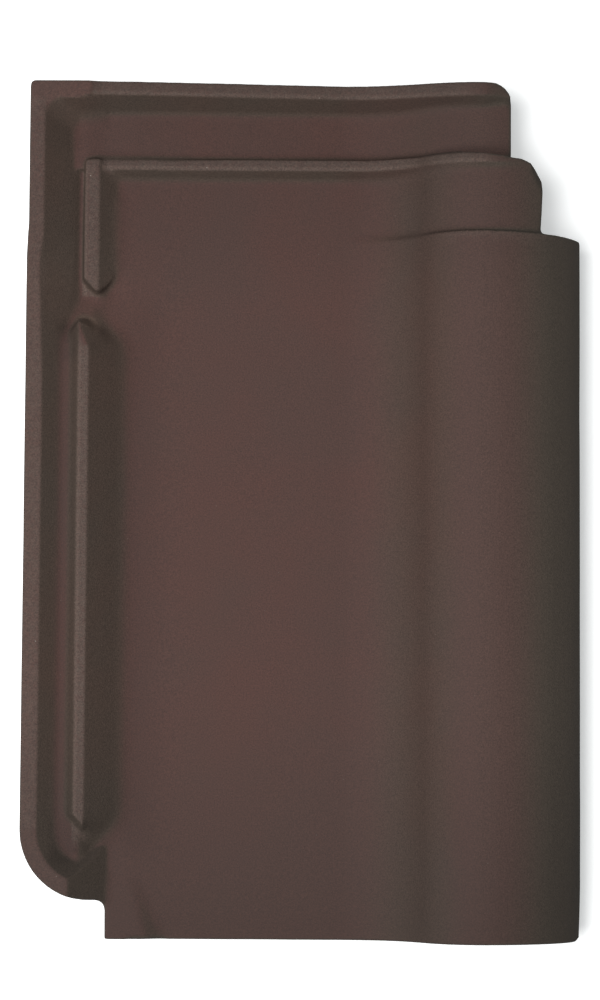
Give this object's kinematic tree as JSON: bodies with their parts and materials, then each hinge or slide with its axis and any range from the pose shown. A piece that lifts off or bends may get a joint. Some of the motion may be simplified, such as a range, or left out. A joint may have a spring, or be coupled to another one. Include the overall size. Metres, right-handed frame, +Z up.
{
  "type": "clay roof tile",
  "caption": "Interlocking clay roof tile with a flat pan, a raised roll along one side, a side lock along the other, a head lock and nibs below that hang on a roof batten.",
  "frame": {"origin": "centre of the bounding box at the floor that the tile lies on", "axes": "+X from the side lock to the roll, +Y from the tail to the head, +Z up out of the weathered face"},
  "size_m": [0.262, 0.404, 0.057],
  "materials": {
    "fired_clay": "matte engobe over fired clay"
  },
  "bodies": {
    "root": {"roof_tile": "fired_clay"}
  },
  "joints": []
}
